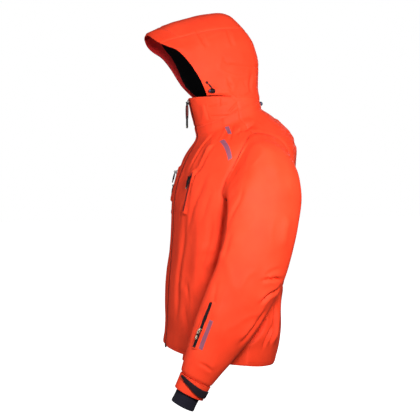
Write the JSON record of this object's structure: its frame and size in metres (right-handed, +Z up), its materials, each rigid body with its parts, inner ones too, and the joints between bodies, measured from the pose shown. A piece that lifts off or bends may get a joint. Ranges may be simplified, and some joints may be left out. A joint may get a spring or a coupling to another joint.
{
  "type": "foul weather jacket",
  "caption": "Waterproof hooded sailing jacket, hood up and zipped shut, with sleeves, cuff tabs, wrist gaiters, zips, cord locks and an inner hanger loop",
  "frame": {"origin": "underside of the hanger loop inside the nape, where a hook carries the jacket", "axes": "+Z up, -Y is the way the jacket faces, +X is the wearer's left"},
  "size_m": [0.642, 0.4339, 1.1309],
  "materials": {
    "shell": "coated woven shell, matt with a slight sheen",
    "facing": "smooth woven facing",
    "lining": "brushed soft lining",
    "webbing": "woven webbing",
    "zip_tape": "water-repellent zip tape",
    "hardware": "moulded",
    "metal": "dark coated"
  },
  "bodies": {
    "jacket": {"front_left_panel": "shell", "front_right_panel": "shell", "back_panel": "shell", "back_yoke": "shell", "collar_left": "shell", "collar_right": "shell", "collar_back": "shell", "collar_lining": "lining", "main_zip_left_tape": "zip_tape", "main_zip_right_tape": "zip_tape", "storm_flap": "shell", "zip_garage": "shell", "zip_pin_box": "hardware", "left_chest_zip_tape": "zip_tape", "right_chest_upper_zip_tape": "zip_tape", "right_chest_lower_zip_tape": "zip_tape", "hanger_loop": "webbing", "hood_neck_left": "shell", "hood_neck_right": "shell", "hood_eyelet_left": "facing", "hood_left_lock": "hardware", "hood_cord_left": "webbing", "hood_eyelet_right": "facing", "hood_right_lock": "hardware", "hood_cord_right": "webbing", "hood_rear_lock": "hardware"},
    "hood": {"hood_side_left": "shell", "hood_side_right": "shell", "hood_centre_panel": "shell", "hood_brim": "shell", "hood_facing_left": "facing", "hood_facing_right": "facing", "hood_lining_left": "lining", "hood_lining_right": "lining"},
    "left_arm": {"left_upper_sleeve": "shell", "left_lower_sleeve": "shell", "left_cuff_band": "shell", "left_wrist_gaiter": "lining", "left_cuff_landing": "lining", "forearm_zip_tape": "zip_tape"},
    "right_arm": {"right_upper_sleeve": "shell", "right_lower_sleeve": "shell", "right_cuff_band": "shell", "right_wrist_gaiter": "lining", "right_cuff_landing": "lining"},
    "main_zip_slider": {"main_zip_slider": "metal"},
    "main_zip_puller": {"main_zip_puller": "hardware"},
    "left_chest_zip_slider": {"left_chest_zip_slider": "metal"},
    "left_chest_zip_puller": {"left_chest_zip_puller": "hardware"},
    "right_chest_upper_zip_slider": {"right_chest_upper_zip_slider": "metal"},
    "right_chest_upper_zip_puller": {"right_chest_upper_zip_puller": "hardware"},
    "right_chest_lower_zip_slider": {"right_chest_lower_zip_slider": "metal"},
    "right_chest_lower_zip_puller": {"right_chest_lower_zip_puller": "hardware"},
    "forearm_zip_slider": {"forearm_zip_slider": "metal"},
    "forearm_zip_puller": {"forearm_zip_puller": "hardware"},
    "hood_left_lock_button": {"hood_left_lock_button": "metal"},
    "hood_right_lock_button": {"hood_right_lock_button": "metal"},
    "hood_rear_lock_button": {"hood_rear_lock_button": "metal"},
    "left_cuff_tab": {"left_cuff_tab": "webbing"},
    "right_cuff_tab": {"right_cuff_tab": "webbing"}
  },
  "joints": [
    {"name": "hood_tilt", "type": "hinge", "parent": "jacket", "child": "hood", "pos_m": [0, 0.0165, 0.017], "axis": [-1, 0, 0], "range_deg": [0, 25]},
    {"name": "left_arm_swing", "type": "hinge", "parent": "jacket", "child": "left_arm", "pos_m": [0.165, -0.042, -0.202], "axis": [-0.9659, 0, -0.259], "range_deg": [-15, 18]},
    {"name": "right_arm_swing", "type": "hinge", "parent": "jacket", "child": "right_arm", "pos_m": [-0.165, -0.042, -0.202], "axis": [-0.9659, 0, 0.259], "range_deg": [-15, 18]},
    {"name": "main_zip_slide", "type": "slide", "parent": "jacket", "child": "main_zip_slider", "axis": [0, -0.2382, 0.9712], "range_m": [-0.055, 0]},
    {"name": "main_zip_pull", "type": "hinge", "parent": "main_zip_slider", "child": "main_zip_puller", "pos_m": [0, -0.19442, 0.00092], "axis": [-1, 0, 0], "range_deg": [0, 100]},
    {"name": "left_chest_zip_slide", "type": "slide", "parent": "jacket", "child": "left_chest_zip_slider", "axis": [0.0696, 0.2137, 0.9744], "range_m": [-0.09, 0.008]},
    {"name": "left_chest_zip_pull", "type": "hinge", "parent": "left_chest_zip_slider", "child": "left_chest_zip_puller", "pos_m": [0.10755, -0.2104, -0.21446], "axis": [-0.92, -0.364, 0.1456], "range_deg": [0, 120]},
    {"name": "right_chest_upper_zip_slide", "type": "slide", "parent": "jacket", "child": "right_chest_upper_zip_slider", "axis": [-0.042, 0.2566, 0.9656], "range_m": [-0.075, 0.005]},
    {"name": "right_chest_upper_zip_pull", "type": "hinge", "parent": "right_chest_upper_zip_slider", "child": "right_chest_upper_zip_puller", "pos_m": [-0.06553, -0.21842, -0.19996], "axis": [-0.9758, 0.197, -0.0948], "range_deg": [0, 120]},
    {"name": "right_chest_lower_zip_slide", "type": "slide", "parent": "jacket", "child": "right_chest_lower_zip_slider", "axis": [-0.0793, 0.1716, 0.982], "range_m": [-0.075, 0.012]},
    {"name": "right_chest_lower_zip_pull", "type": "hinge", "parent": "right_chest_lower_zip_slider", "child": "right_chest_lower_zip_puller", "pos_m": [-0.1072, -0.21663, -0.24237], "axis": [-0.9178, 0.372, -0.1391], "range_deg": [0, 120]},
    {"name": "forearm_zip_slide", "type": "slide", "parent": "left_arm", "child": "forearm_zip_slider", "axis": [0.0481, 0.3587, 0.9322], "range_m": [-0.042, 0.07]},
    {"name": "forearm_zip_pull", "type": "hinge", "parent": "forearm_zip_slider", "child": "forearm_zip_puller", "pos_m": [0.30252, -0.22144, -0.60673], "axis": [-0.6563, -0.6922, 0.3002], "range_deg": [0, 120]},
    {"name": "hood_left_lock_press", "type": "slide", "parent": "jacket", "child": "hood_left_lock_button", "axis": [-0.0202, 0.9998, 0], "range_m": [0, 0.003], "stiffness_N_per_m": 400},
    {"name": "hood_right_lock_press", "type": "slide", "parent": "jacket", "child": "hood_right_lock_button", "axis": [0.0201, 0.9998, 0], "range_m": [0, 0.003], "stiffness_N_per_m": 400},
    {"name": "hood_rear_lock_press", "type": "slide", "parent": "jacket", "child": "hood_rear_lock_button", "axis": [-1, 0, 0], "range_m": [0, 0.003], "stiffness_N_per_m": 400},
    {"name": "left_cuff_tab_open", "type": "hinge", "parent": "left_arm", "child": "left_cuff_tab", "pos_m": [0.28174, -0.27171, -0.74698], "axis": [-0.027, -0.3996, -0.9163], "range_deg": [0, 60]},
    {"name": "right_cuff_tab_open", "type": "hinge", "parent": "right_arm", "child": "right_cuff_tab", "pos_m": [-0.28174, -0.15731, -0.80163], "axis": [-0.0252, 0.1271, 0.9916], "range_deg": [0, 60]}
  ]
}
